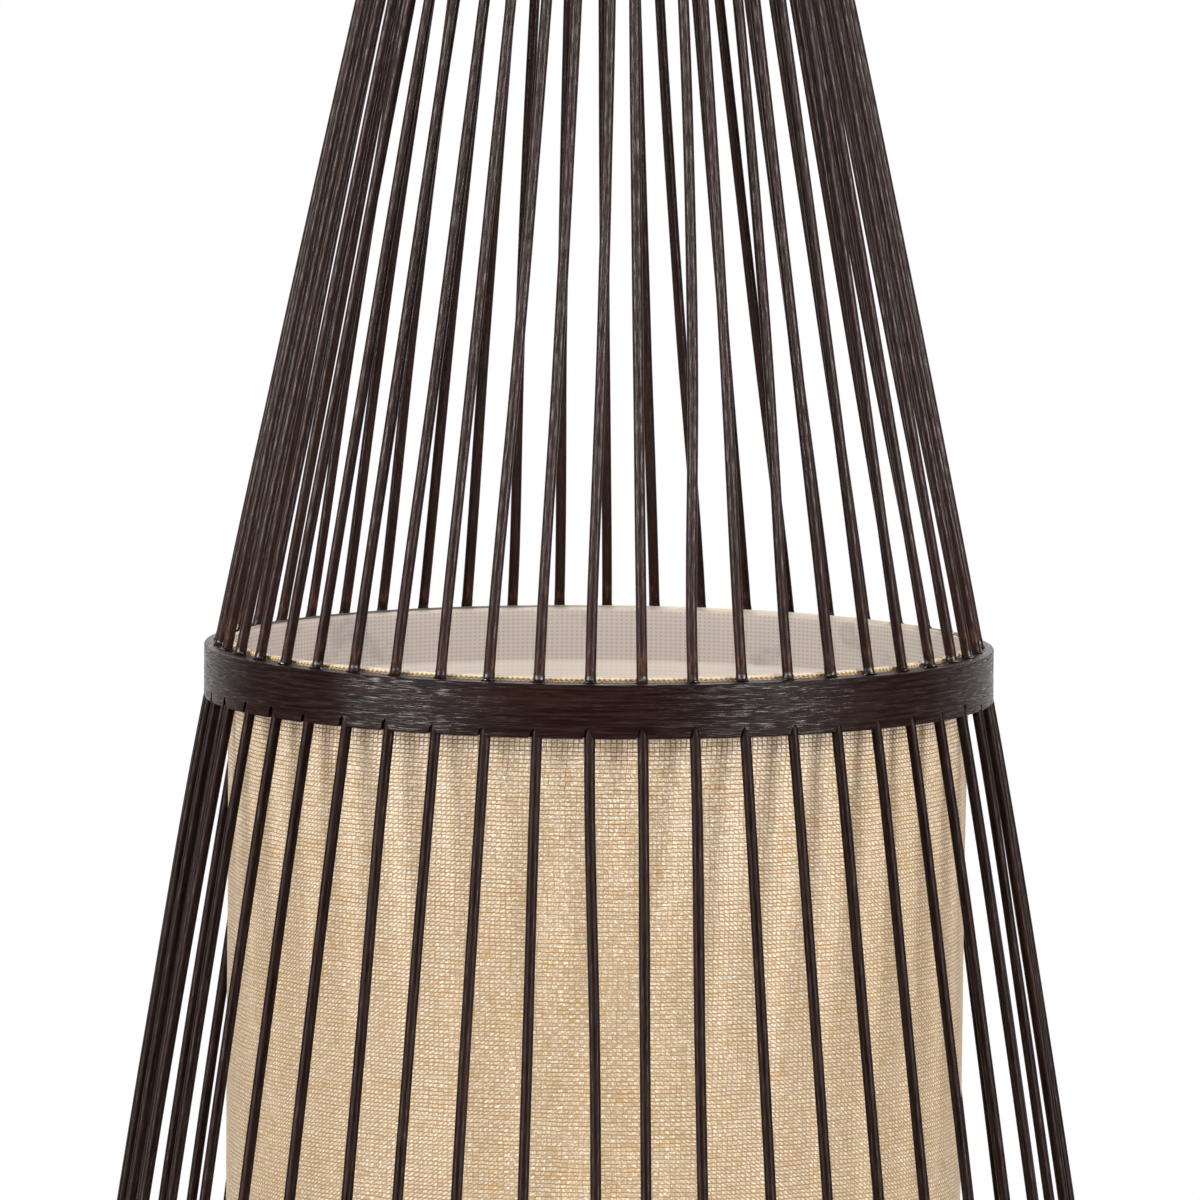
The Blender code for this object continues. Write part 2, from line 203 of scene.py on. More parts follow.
def stained_wood(name, fibre_length, fibre_width, relief, glints, level, polish, rods=False):
    """Espresso-stained wood: lacquer glints along fine fibres, and rubbed red-brown spots.

    glints is how bright the lacquer shines where it is thick, level how much the stain itself
    reflects, and polish how rough the lacquer is.
    """
    g = Graph(name)
    along, across = g.metres()
    fibres = g.noise(g.vector(g.times(along, 1 / fibre_length),
                              g.times(across, 1 / fibre_width)), detail=3.0, roughness=0.6)
    strips = g.noise(g.vector(g.times(along, 0.3 / fibre_length),
                              g.times(across, 0.25 / fibre_width), 3.1), detail=3.0)
    clouds = g.noise(g.vector(g.times(along, 14), g.times(across, 120), 7.3), detail=2.0)
    tone = g.rise(g.times(g.plus(fibres, strips), 0.5), 0.40, 0.62)
    colour = g.mix(tone, rgb(0.0050, 0.0019, 0.0014), rgb(0.0140, 0.0060, 0.0044))
    colour = g.mix(g.rise(clouds, 0.56, 0.78, 0.0, 0.5), colour, rgb(0.0215, 0.0078, 0.0053))
    shiny = g.times(g.rise(fibres, 0.53, 0.59), g.rise(strips, 0.43, 0.58, 0.08, glints))
    if rods:
        colour, shiny = rod_finish(g, fibres, colour, shiny)
    normal = g.bump(fibres, relief)
    rough = g.rise(strips, 0.36, 0.64, 0.26, 0.44)
    return g.finish(g.surface(Base_Color=colour, Roughness=rough, Specular_IOR_Level=level,
                              Normal=normal, Coat_Weight=shiny, Coat_Roughness=polish,
                              Coat_Normal=normal))


def rod_finish(g, fibres, colour, shiny):
    """What changes up a rod: above the hoop, gloss and painted light; rubbed flecks; a lacquer
    collar.

    Gives the stain's colour and the lacquer's strength.
    """
    along, across = g.metres()
    point, height = g.place()
    above = g.rise(height, HOOP_TOP - 0.0010, HOOP_TOP + 0.0005)
    # painted light: the stain is painted lighter above the hoop, for the light that the upper cage
    # catches
    colour = g.mix(g.times(above, 0.35), colour, rgb(0.027, 0.0112, 0.0084))

    rubbed = g.times(g.rise(height, HOOP_TOP + 0.0032, HOOP_TOP + 0.0046),
                     g.rise(height, HOOP_TOP + 0.0065, HOOP_TOP + 0.013, 1.0, 0.0))
    flecks = g.noise(g.vector(g.times(along, 260), g.times(across, 900), 1.7), detail=3.0)
    wear = g.times(rubbed, g.rise(flecks, 0.50, 0.62))
    colour = g.mix(g.times(wear, 0.6), colour, rgb(0.080, 0.028, 0.017))

    patch = g.noise(point, scale=260.0, detail=2.0)
    collar = g.times(g.rise(height, HOOP_TOP - 0.0003, HOOP_TOP - 0.0001),
                     g.rise(height, HOOP_TOP + 0.0018, HOOP_TOP + 0.0030, 1.0, 0.0))
    collar = g.times(collar, g.rise(patch, 0.46, 0.58, 0.05, 0.95))
    colour = g.mix(g.times(collar, 0.8), colour, rgb(0.0028, 0.0014, 0.0011))

    far = g.rise(height, HOOP_TOP + 0.004, HOOP_TOP + 0.070, 0.18, 1.0)
    gloss = g.times(far, g.rise(fibres, 0.42, 0.63, 0.02, 0.40))
    shiny = g.plus(shiny, g.times(above, gloss))
    return colour, g.calc("MAXIMUM", shiny, collar)


def weave_grid(g, unevenness=1.0):
    """Where a point lies in the weave, whose threads stray less close under the hoop.

    Gives its place counted in warp and in weft threads, the whole numbers of these, and how far
    it is from the middle of each thread towards its edges, from 0 to 1.
    """
    along, height = g.metres()
    stray = g.rise(height, HOOP_LOW - 0.020, HOOP_LOW - 0.001, unevenness, 0.15 * unevenness)
    sideways = g.noise(g.vector(g.times(along, 190), g.times(height, 70)), detail=1.0)
    upwards = g.noise(g.vector(g.times(along, 70), g.times(height, 260), 5.1), detail=1.0)
    warp_place = g.calc("MULTIPLY_ADD", sideways, g.times(stray, 1.1), g.times(along, 1 / WARP))
    weft_place = g.calc("MULTIPLY_ADD", upwards, g.times(stray, 0.8), g.times(height, 1 / WEFT))
    numbers = [g.calc("FLOOR", place) for place in (warp_place, weft_place)]
    edges = []
    for place, number in zip((warp_place, weft_place), numbers):
        share = g.calc("SUBTRACT", place, number)
        edges.append(g.calc("ABSOLUTE", g.calc("MULTIPLY_ADD", share, 2.0, -1.0)))
    return [warp_place, weft_place] + numbers + edges


def gap_beside(g, off, width):
    """0 on the flat back of the thread on top, up to 1 in the middle of the gap beside it."""
    return g.calc("POWER", g.calc("DIVIDE", off, width, clamp=True), 6.0)


def weave_relief(g, weave, weft_over, shadow):
    """1 on the threads, down to 0 in the middle of an open gap between them."""
    along, height = g.metres()
    warp_place, weft_place, warp, weft, beside, above = weave
    warp_chance = g.chance(warp, g.calc("FLOOR", g.times(height, 70)), 1.0)
    weft_chance = g.chance(weft, g.calc("FLOOR", g.times(along, 55)), 2.0)
    warp_width = g.calc("MULTIPLY_ADD", weft_over, 0.10,
                        g.calc("MULTIPLY_ADD", warp_chance, 0.14, 0.84))
    weft_width = g.calc("MULTIPLY_ADD", weft_over, -0.10,
                        g.calc("MULTIPLY_ADD", weft_chance, 0.14, 0.86))
    sheen = g.noise(g.vector(g.times(along, 120), g.times(height, 55), 4.4), detail=2.0)
    patches = g.noise(g.vector(g.times(along, 330), g.times(height, 330), 8.2), detail=2.0)
    across = g.calc("MAXIMUM", g.rise(patches, 0.32, 0.68, 0.25, 0.80), g.times(shadow, 0.92))
    around = g.calc("MAXIMUM", g.rise(sheen, 0.30, 0.65, 0.75, 0.98), g.times(shadow, 0.96))
    upright = g.times(gap_beside(g, beside, warp_width), across)
    level = g.times(gap_beside(g, above, weft_width), around)
    return g.times(g.calc("SUBTRACT", 1.0, upright), g.calc("SUBTRACT", 1.0, level))


def weave_tint(g, weave, weft_over, depth):
    """How light a thread is: it changes at each crossing, and painted sheen slants to the sides.
    """
    along, height = g.metres()
    warp_place, weft_place, warp, weft, beside, above = weave
    sheen_patches = g.noise(g.vector(g.times(along, 45), g.times(height, 22), 6.1), detail=1.0)
    # painted sheen: warp and weft floats are painted lighter or darker than each other, in patches
    shimmer = g.times(g.calc("SUBTRACT", weft_over, 0.5), g.rise(sheen_patches, 0.32, 0.62, -0.1, 0.3))
    turn = g.calc("MULTIPLY_ADD", along, 1 / SHADE_RADIUS, -math.pi)
    lean = g.rise(turn, -0.02, 0.02, -1.0, 1.0)
    # painted sheen: lines that slant one way on the left and the other on the right, strongest at
    # the sides, where the side lights catch the threads
    slant = g.calc("COSINE", g.times(g.calc("MULTIPLY_ADD", weft_place, lean, warp_place), TAU))
    slanting = g.times(g.rise(g.calc("ABSOLUTE", turn), 0.10, 0.42, 0.12, 0.42),
                       g.rise(sheen_patches, 0.30, 0.60, 0.4, 1.1))
    crossing = g.chance(warp, weft, 3.0)
    # painted light: the threads are painted lighter towards the hoop, against its shade
    return g.plus(g.plus(shimmer, g.times(slant, g.times(slanting, 1.15))),
                  g.calc("MULTIPLY_ADD", crossing, 0.22, g.times(depth, 0.16)))


def straw_fabric():
    """Open plain weave of flat threads in straw and old gold, which lets some light through."""
    g = Graph("straw_fabric")
    point = g.place()[0]
    height = g.metres()[1]
    weave = weave_grid(g)
    warp, weft = weave[2:4]
    weft_over = g.calc("ABSOLUTE", g.calc("MODULO", g.plus(warp, weft), 2.0))
    shadow = g.rise(height, HOOP_LOW - 0.013, HOOP_LOW - 0.003)
    depth = g.rise(height, HOOP_LOW - 0.100, HOOP_LOW - 0.010)
    relief = weave_relief(g, weave, weft_over, shadow)
    tint = weave_tint(g, weave, weft_over, depth)

    # painted shade: the gaps are painted darker towards the hoop and darkest in its painted shadow
    # just under it
    gap = g.mix(depth, rgb(0.38, 0.215, 0.052), rgb(0.32, 0.17, 0.040))
    gap = g.mix(shadow, gap, rgb(0.17, 0.088, 0.042))
    thread = g.mix(g.rise(tint, -0.50, 0.85), rgb(0.352, 0.268, 0.168), rgb(0.572, 0.486, 0.370))
    sparkle = g.noise(point, scale=1600.0, detail=1.0)
    lit = g.times(g.rise(sparkle, 0.51, 0.62), g.rise(tint, -0.25, 0.40, 0.10, 0.95))
    thread = g.mix(lit, thread, rgb(0.81, 0.75, 0.65))
    gold = g.rise(g.chance(warp, weft, 6.0), 0.90, 0.94, 0.0, 0.45)
    thread = g.mix(gold, thread, rgb(0.42, 0.26, 0.09))
    colour = g.mix(g.rise(relief, 0.03, 0.85), gap, thread)

    fluff = g.noise(point, scale=2600.0, detail=2.0)
    normal = g.bump(g.calc("MULTIPLY_ADD", fluff, 0.20, relief), 0.00034, 0.8)
    cloth = g.surface(Base_Color=colour, Roughness=0.38, Specular_IOR_Level=0.45, Normal=normal)
    return g.finish(g.see_through(cloth, 0.46, Color=colour, Normal=normal))


def liner_film():
    """Milky film: grey dots of the weave show through it; painted shade where the hoop is behind
    it.
    """
    g = Graph("liner_film")
    point, height = g.place()
    parts = g.add("ShaderNodeSeparateXYZ", {"Vector": point}).outputs
    right, back = parts[0], parts[1]
    beside, above = weave_grid(g, 0.3)[4:]
    behind = g.rise(height, HOOP_LOW - 0.0012, HOOP_LOW + 0.0008)
    # painted shade: the film is painted darker where the hoop stands behind it
    film = g.mix(behind, rgb(0.95, 0.90, 0.85), rgb(0.77, 0.70, 0.66))

    mottle = g.noise(point, scale=330.0, detail=3.0)
    clouds = g.noise(point, scale=48.0, detail=4.0)
    stain = g.times(g.rise(clouds, 0.55, 0.64), g.rise(mottle, 0.30, 0.60, 0.45, 1.0))
    film = g.mix(g.times(stain, g.times(behind, 0.75)), film, rgb(0.56, 0.51, 0.49))

    gaps = g.rise(g.times(beside, above), 0.12, 0.66)
    rows = g.rise(above, 0.55, 0.95, 0.0, 0.25)
    # painted shade: the weave's dots are painted darker where the hoop is behind
    dots = g.times(g.calc("MAXIMUM", gaps, rows), g.calc("MULTIPLY_ADD", behind, 0.31, 0.13))
    colour = g.mix(dots, film, rgb(0.37, 0.33, 0.305))

    over_hoop = g.rise(height, HOOP_TOP - 0.0003, HOOP_TOP + 0.0004, 0.0, 0.8)
    colour = g.mix(over_hoop, colour, rgb(0.50, 0.44, 0.39))
    cut_edge = g.rise(height, SHADE_TOP - 0.0004, SHADE_TOP - 0.0001)
    colour = g.mix(cut_edge, colour, rgb(0.60, 0.53, 0.42))
    # the film's top edge is painted dark along the back, most on the left
    dark_back_rim = g.times(g.rise(height, SHADE_TOP - 0.0006, SHADE_TOP - 0.0001),
                     g.rise(back, 0.02, 0.06))
    dark_back_rim = g.times(dark_back_rim, g.rise(right, -0.06, 0.05, 0.9, 0.15))
    colour = g.mix(dark_back_rim, colour, rgb(0.045, 0.038, 0.035))

    rough = g.rise(mottle, 0.3, 0.7, 0.38, 0.55)
    skin = g.surface(Base_Color=colour, Roughness=rough, Specular_IOR_Level=0.3,
                     Normal=g.bump(gaps, 0.00005, 0.5))
    return g.finish(g.see_through(skin, 0.47, Color=colour))


def selvedge_thread():
    """The fabric's edge: pale turns of thread with old gold between them."""
    g = Graph("selvedge_thread")
    along, across = g.metres()
    turn = g.calc("COSINE", g.times(along, TAU / WARP))
    strands = g.noise(g.vector(g.times(along, 900), g.times(across, 2600)), detail=3.0)
    pale = g.mix(g.rise(strands, 0.3, 0.7), rgb(0.45, 0.31, 0.14), rgb(0.72, 0.60, 0.42))
    colour = g.mix(g.rise(turn, -0.6, 0.5), rgb(0.36, 0.205, 0.055), pale)
    return g.finish(g.surface(Base_Color=colour, Roughness=0.8, Specular_IOR_Level=0.2,
                              Normal=g.bump(strands, 0.00015)))


def coated(name, low, high, rough, metallic=0.0, grain=900.0, relief=0.00004, level=0.5):
    """Enamel, moulded plastic or plated metal: a colour that varies a little, over fine grain."""
    g = Graph(name)
    point = g.place()[0]
    clouds = g.noise(point, scale=60.0, detail=4.0)
    fine = g.noise(point, scale=grain, detail=2.0)
    colour = g.mix(g.rise(clouds, 0.3, 0.7), rgb(*low), rgb(*high))
    return g.finish(g.surface(Base_Color=colour, Metallic=metallic,
                              Roughness=g.rise(clouds, 0.3, 0.75, rough * 0.8, rough * 1.25),
                              Specular_IOR_Level=level, Normal=g.bump(fine, relief)))


def opal_glass():
    """White glass that light passes through softly."""
    g = Graph("opal_glass")
    clouds = g.noise(g.place()[0], scale=25.0, detail=3.0)
    colour = g.mix(g.rise(clouds, 0.3, 0.7), rgb(0.86, 0.85, 0.82), rgb(0.92, 0.91, 0.89))
    skin = g.surface(Base_Color=colour, Roughness=0.16, Coat_Weight=0.3, Coat_Roughness=0.05)
    return g.finish(g.see_through(skin, 0.3, Color=colour))


# ---- mesh helpers -------------------------------------------------------------------------

def linked(name, data):
    """A new object in the scene."""
    item = bpy.data.objects.new(name, data)
    bpy.context.scene.collection.objects.link(item)
    return item


def mesh_piece(name, rows, along, across, material, loop_rows=False, loop_points=True, ends=False):
    """A skin of quads over rows of points.

    along and across give the UV coordinates of the rows and of the points in a row, with one
    more value where that way closes on itself.  loop_rows joins the last row to the first,
    loop_points closes each row, and ends caps the first and the last row.
    """
    count = len(rows[0])
    data = bpy.data.meshes.new(name)
    faces = []
    corners = []
    for row in range(len(rows) if loop_rows else len(rows) - 1):
        for point in range(count if loop_points else count - 1):
            around = ((row, point), (row, point + 1), (row + 1, point + 1), (row + 1, point))
            faces.append([(r % len(rows)) * count + p % count for r, p in around])
            corners += [(along[r], across[p]) for r, p in around]
    if ends:
        ring = list(range(count))
        faces.append(ring[::-1])
        faces.append([(len(rows) - 1) * count + point for point in ring])
        corners += [(along[0], across[point]) for point in ring[::-1]]
        corners += [(along[-1], across[point]) for point in ring]
    data.from_pydata([tuple(point) for row in rows for point in row], [], faces)
    layer = data.uv_layers.new(name="metres")
    layer.data.foreach_set("uv", [value for corner in corners for value in corner])
    data.materials.append(material)
    return shaded(name, data)


def shaded(name, data):
    """Put mesh data in the scene as an object, smooth except at its sharp edges."""
    data.validate()
    bm = bmesh.new()
    bm.from_mesh(data)
    bmesh.ops.recalc_face_normals(bm, faces=bm.faces)
    bm.to_mesh(data)
    bm.free()
    data.shade_smooth()
    data.set_sharp_from_angle(angle=SHARP)
    return linked(name, data)


def running_length(points):
    """The distance along a line of points, at each of them."""
    lengths = [0.0]
    for before, after in zip(points, points[1:]):
        lengths.append(lengths[-1] + (Vector(after) - Vector(before)).length)
    return lengths


def turned(name, profile, steps, material, closed=True, shape=None):
    """Turn a profile of (radius, height) points about the axis.

    shape changes a radius and a height at an angle.  A profile that starts and ends on the axis
    isn't closed.
    """
    rows = []
    for step in range(steps):
        angle = math.pi + TAU * step / steps
        row = []
        for radius, height in profile:
            if shape:
                radius, height = shape(angle, radius, height)
            row.append(on_angle(angle, radius, height))
        rows.append(row)
    girth = TAU * max(radius for radius, height in profile)
    along = [girth * step / steps for step in range(steps + 1)]
    outline = [(radius, 0, height) for radius, height in profile]
    across = running_length(outline + outline[:1] if closed else outline)
    item = mesh_piece(name, rows, along, across, material, loop_rows=True, loop_points=closed)
    weld(item.data)
    return item


def weld(data):
    """Merge the points that lie on the axis."""
    bm = bmesh.new()
    bm.from_mesh(data)
    bmesh.ops.remove_doubles(bm, verts=bm.verts, dist=1e-6)
    bmesh.ops.dissolve_degenerate(bm, dist=1e-7, edges=bm.edges)
    bmesh.ops.recalc_face_normals(bm, faces=bm.faces)
    bm.to_mesh(data)
    bm.free()
    data.set_sharp_from_angle(angle=SHARP)


def rounded(corners, radius, steps=4):
    """A closed outline of (radius, height) points, each corner rounded into steps + 1 points."""
    outline = []
    count = len(corners)
    for index, (x, y) in enumerate(corners):
        corner = Vector((x, y))
        before = Vector(corners[index - 1]) - corner
        after = Vector(corners[(index + 1) % count]) - corner
        reach = min(radius, 0.45 * before.length, 0.45 * after.length)
        start = corner + before.normalized() * reach
        end = corner + after.normalized() * reach
        for step in range(steps + 1):
            share = step / steps
            first = start.lerp(corner, share)
            second = corner.lerp(end, share)
            outline.append(tuple(first.lerp(second, share)))
    return outline


def swept(name, points, radii, sides, material, offset=0.0):
    """A round bar of changing radius along a line of points, closed at both ends.

    offset moves the bar's UV map, so that bars side by side differ in their grain.
    """
    lengths = running_length(points)
    rows = []
    for index, point in enumerate(points):
        before = points[max(index - 1, 0)]
        after = points[min(index + 1, len(points) - 1)]
        tangent = (after - before).normalized()
        if abs(tangent.z) < 0.5:
            first = Vector((0, 0, 1))
        elif point.xy.length > 1e-4:
            first = Vector((point.x, point.y, 0))
        else:
            first = Vector((1, 0, 0))
        first = (first - tangent * first.dot(tangent)).normalized()
        second = tangent.cross(first)
        turns = [TAU * side / sides for side in range(sides)]
        rows.append([point + (first * math.cos(turn) + second * math.sin(turn)) * radii[index]
                     for turn in turns])
    across = [offset + TAU * max(radii) * side / sides for side in range(sides + 1)]
    along = [offset + length for length in lengths]
    return mesh_piece(name, rows, along, across, material, ends=True)


def cut(item, cutter):
    """Cut one shape out of another for good, and remove the cutter."""
    modifier = item.modifiers.new("cut", "BOOLEAN")
    modifier.operation = "DIFFERENCE"
    modifier.solver = "EXACT"
    modifier.object = cutter
    graph = bpy.context.evaluated_depsgraph_get()
    data = bpy.data.meshes.new_from_object(item.evaluated_get(graph))
    item.modifiers.clear()
    item.data = data
    data.shade_smooth()
    data.set_sharp_from_angle(angle=SHARP)
    bpy.data.objects.remove(cutter, do_unlink=True)


def joined(name, items):
    """Make several meshes one piece."""
    with bpy.context.temp_override(active_object=items[0], selected_editable_objects=items):
        bpy.ops.object.join()
    items[0].name = name
    return items[0]


def stand_in(piece, node, body):
    """The piece stands for a CAD node, whose part it hides, and rides its body."""
    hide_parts(node)
    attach(piece, body)
    return piece


# ---- the cage -----------------------------------------------------------------------------

def centre_line(node):
    """The middles of a CAD rod's rings, from its foot to its top."""
    ring_height = 0.004                   # a slanted ring spans less, a stretch between two more
    found = {tuple(round(value, 6) for value in vertex.co) for vertex in node.data.vertices}
    points = sorted(found, key=lambda point: point[2])
    rings = [[points[0]]]
    for point in points[1:]:
        if point[2] - rings[-1][-1][2] > ring_height:
            rings.append([])
        rings[-1].append(point)
    return [sum((Vector(point) for point in ring), Vector()) / len(ring) for ring in rings]


def smooth_line(knots):
    """A function that gives the point of a smooth curve through the knots at any height."""
    heights = [knot.z for knot in knots]
    steps = [(after - before) / (after.z - before.z) for before, after in zip(knots, knots[1:])]
    slopes = [steps[0]]
    for index in range(1, len(steps)):
        below = heights[index] - heights[index - 1]
        above = heights[index + 1] - heights[index]
        slopes.append((steps[index - 1] * above + steps[index] * below) / (below + above))
    slopes.append(steps[-1])

    def point_at(height):
        index = 0
        while index < len(steps) - 1 and height > heights[index + 1]:
            index += 1
        span = heights[index + 1] - heights[index]
        t = (height - heights[index]) / span
        return (knots[index] * (2 * t ** 3 - 3 * t ** 2 + 1)
                + slopes[index] * span * (t ** 3 - 2 * t ** 2 + t)
                + knots[index + 1] * (3 * t ** 2 - 2 * t ** 3)
                + slopes[index + 1] * span * (t ** 3 - t ** 2))

    return point_at


def rod_heights(low, high, bead_top):
    """Heights of a rod's rings: close together at the lacquer bead on the hoop."""
    step = 0.011
    closest = 0.00012
    bead_steps = 8
    heights = {low, high, HOOP_TOP - 0.0008, bead_top + 0.0009}
    heights.update(low + step * index for index in range(1, int((high - low) / step)))
    heights.update(HOOP_TOP + (bead_top - HOOP_TOP) * (index / bead_steps) ** 1.5
                   for index in range(bead_steps + 1))
    ordered = sorted(heights)
    kept = [ordered[0]]
    for height in ordered[1:]:
        if height - kept[-1] > closest:
            kept.append(height)
    return kept


def make_rods(material):
    """The forty-eight rods, each with its own bow, thickness and lacquer bead on the hoop."""
    sides = 14
    uneven = 0.045                        # how much a rod's thickness ripples along it
    swelling = 0.00012
    draw = random.Random(12)
    for index, name in enumerate(ROD_NAMES):
        knots = centre_line(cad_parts[name])
        point_at = smooth_line(knots)
        bead = draw.uniform(0.0016, 0.0042)
        flare = draw.uniform(0.00035, 0.00075)
        thickness = draw.uniform(0.97, 1.03)
        points = []
        radii = []
        for height in rod_heights(knots[0].z, knots[-1].z, HOOP_TOP + bead):
            points.append(point_at(height))
            ripple = noise.noise(Vector((index * 3.7, 0, height * 22)))
            radius = ROD_RADIUS * thickness * (1 + uneven * ripple)
            above = (height - HOOP_TOP) / bead
            if -0.01 < above < 1:
                radius += swelling * math.sin(math.pi * min(1, above * 0.9 + 0.1))
                radius += flare * max(0, 1 - above * 3.2) ** 2
            radii.append(radius)
        piece = swept(f"fine_{name}", points, radii, sides, material, offset=0.05 * index)
        stand_in(piece, name, "lamp")


def hole_cutter(name, low, high, radius, wander, material):
    """One slanted bore for each rod, along the rod.

    wander is how far a bore drilled by hand strays to one side of its rod, and how much too wide
    it gets.
    """
    draw = random.Random(5)
    bars = []
    for index, rod in enumerate(ROD_NAMES):
        point_at = smooth_line(centre_line(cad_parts[rod]))
        start, end = point_at(low), point_at(high)
        beyond = (end - start) * 0.0005
        angle = TAU * index / ROD_COUNT
        sideways = Vector((math.cos(angle), math.sin(angle), 0))
        shift = sideways * draw.uniform(-wander, -0.3 * wander)
        size = radius + draw.uniform(0.1 * wander, 0.4 * wander)
        bars.append(swept("bore", [start + shift - beyond, end + shift + beyond], [size, size],
                          16, material, offset=0.003))
    return joined(name, bars)


def wavy(depth, seed):
    """A shape for turned(): the unevenness of bent and sanded wood, depth at most."""
    def shape(angle, radius, height):
        around = Vector((math.cos(angle), math.sin(angle), 0)) * 3.1
        offset = noise.noise(around + Vector((0, 0, height * 60 + seed)))
        rise = noise.noise(around * 1.7 + Vector((seed, radius * 300, 0)))
        return radius + depth * offset, height + depth * rise
    return shape


def ring_profile(outer, wall, low, high, corner):
    """The section of a hoop with rounded edges, its tall faces split into strips."""
    inner = outer - wall
    strips = 6
    tall = [low + (high - low) * step / strips for step in range(1, strips)]
    outline = rounded([(outer, high), (outer, low), (inner, low), (inner, high)], corner)
    out_side = [point for point in outline if point[0] > (outer + inner) / 2]
    in_side = [point for point in outline if point[0] <= (outer + inner) / 2]
    half = len(out_side) // 2
    out_side = out_side[:half] + [(outer, z) for z in reversed(tall)] + out_side[half:]
    half = len(in_side) // 2
    in_side = in_side[:half] + [(inner, z) for z in tall] + in_side[half:]
    return out_side + in_side


def make_hoops(material):
    """The middle hoop, the top ring and the base hoop, bored for the rods."""
    section = ring_profile(HOOP_OUTER, HOOP_WALL, HOOP_LOW, HOOP_TOP, 0.0006)
    hoop = turned("fine_mid_hoop", section, 288, material, shape=wavy(0.00012, 1.0))
    cut(hoop, hole_cutter("hoop_bores", HOOP_LOW - 0.008, HOOP_TOP + 0.006, radius=0.00212,
                          wander=0.0010, material=material))
    stand_in(hoop, "mid_hoop", "lamp")

    section = ring_profile(TOP_OUTER, TOP_WALL, TOP_LOW, TOP_HIGH, 0.0016)
    ring = turned("fine_top_ring", section, 192, material, shape=wavy(0.00010, 2.0))
    cut(ring, hole_cutter("top_bores", TOP_LOW - 0.004, TOP_LOW + 0.0098, BORE_RADIUS,
                          wander=0.0001, material=material))
    stand_in(ring, "top_ring", "lamp")

    section = ring_profile(BASE_OUTER, BASE_WALL, 0.0, BASE_HIGH, 0.0012)
    base = turned("fine_base_hoop", section, 288, material, shape=wavy(0.00012, 3.0))
    cut(base, hole_cutter("base_bores", BASE_HIGH - 0.0135, BASE_HIGH + 0.004, BORE_RADIUS,
                          wander=0.0001, material=material))
    gland_low, gland_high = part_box("cable_gland")
    middle = (gland_low + gland_high) / 2
    outward = Vector((middle.x, middle.y, 0)).normalized()
    reach = (BASE_OUTER + 0.005, BASE_OUTER - BASE_WALL - 0.005)
    ends = [outward * radius + Vector((0, 0, middle.z)) for radius in reach]
    cut(base, swept("cord_bore", ends, [0.006, 0.006], 24, material))
    stand_in(base, "base_hoop", "lamp")


# ---- the shade ----------------------------------------------------------------------------

def pucker(angle, height):
    """How far the fabric stands proud of its drum: soft upright ripples under the hoop."""
    below = HOOP_LOW - height
    strength = smooth_step(-0.002, 0.006, below) * (0.25 + 0.75 * math.exp(-below / 0.05))
    lean = angle + 0.8 * height
    around = Vector((math.cos(lean), math.sin(lean), 0))
    ripple = noise.noise(around * 7.0 + Vector((0, 0, height * 2.5)))
    small = noise.noise(around * 15.0 + Vector((0, 0, 9 + height * 3.0)))
    fold = noise.noise(around * 3.2 + Vector((0, 0, 30 + height * 4.0)))
    return (strength * (0.00055 * ripple + 0.00030 * small)
            + smooth_step(0.0, 0.05, below) * 0.0011 * fold)


def drum(name, radius, material, rows, steps, ripples, above=0.0):
    """An open tube as tall as the shade, or a little taller, with a share of the ripples."""
    top = SHADE_TOP + above
    heights = [SHADE_LOW + (top - SHADE_LOW) * row / rows for row in range(rows + 1)]
    strips = []
    for step in range(steps):
        angle = math.pi + TAU * step / steps
        strips.append([on_angle(angle, radius + ripples * pucker(angle, height), height)
                       for height in heights])
    along = [SHADE_GIRTH * step / steps for step in range(steps + 1)]
    return mesh_piece(name, strips, along, heights, material, loop_rows=True, loop_points=False)


def bead_ring(name, radius, height, thick, material):
    """Turns of thread round the shade's edge, one for each warp thread."""
    turn_steps = 6
    steps = WARP_COUNT * turn_steps
    sides = 8
    rows = []
    for step in range(steps):
        angle = math.pi + TAU * step / steps
        swell = thick * (0.80 + 0.20 * math.cos(TAU * step / turn_steps))
        swell *= 1 + 0.25 * noise.noise(Vector((step * 0.11, height * 9, 0)))
        row = []
        for side in range(sides):
            turn = TAU * side / sides
            row.append(on_angle(angle, radius + swell * math.cos(turn),
                                height + 0.85 * swell * math.sin(turn)))
        rows.append(row)
    along = [SHADE_GIRTH * step / steps for step in range(steps + 1)]
    across = [TAU * thick * side / sides for side in range(sides + 1)]
    return mesh_piece(name, rows, along, across, material, loop_rows=True)


def make_shade():
    """Fabric drum, its film liner and the thread-bound edges."""
    fabric = straw_fabric()
    thread = selvedge_thread()
    cover = drum("shade_fabric", SHADE_RADIUS - 0.0003, fabric, rows=170, steps=480, ripples=1.0)
    stand_in(cover, "shade_cover", "lamp")
    liner = drum("shade_film", LINER_RADIUS - 0.0005, liner_film(), rows=40, steps=240,
                 ripples=0.0, above=0.0005)
    stand_in(liner, "shade_liner", "lamp")
    for name, height in (("upper_selvedge", SHADE_TOP - 0.0003),
                         ("lower_selvedge", SHADE_LOW + 0.0005)):
        edge = bead_ring(name, SHADE_RADIUS - 0.0006, height, 0.00065, thread)
        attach(edge, "lamp")


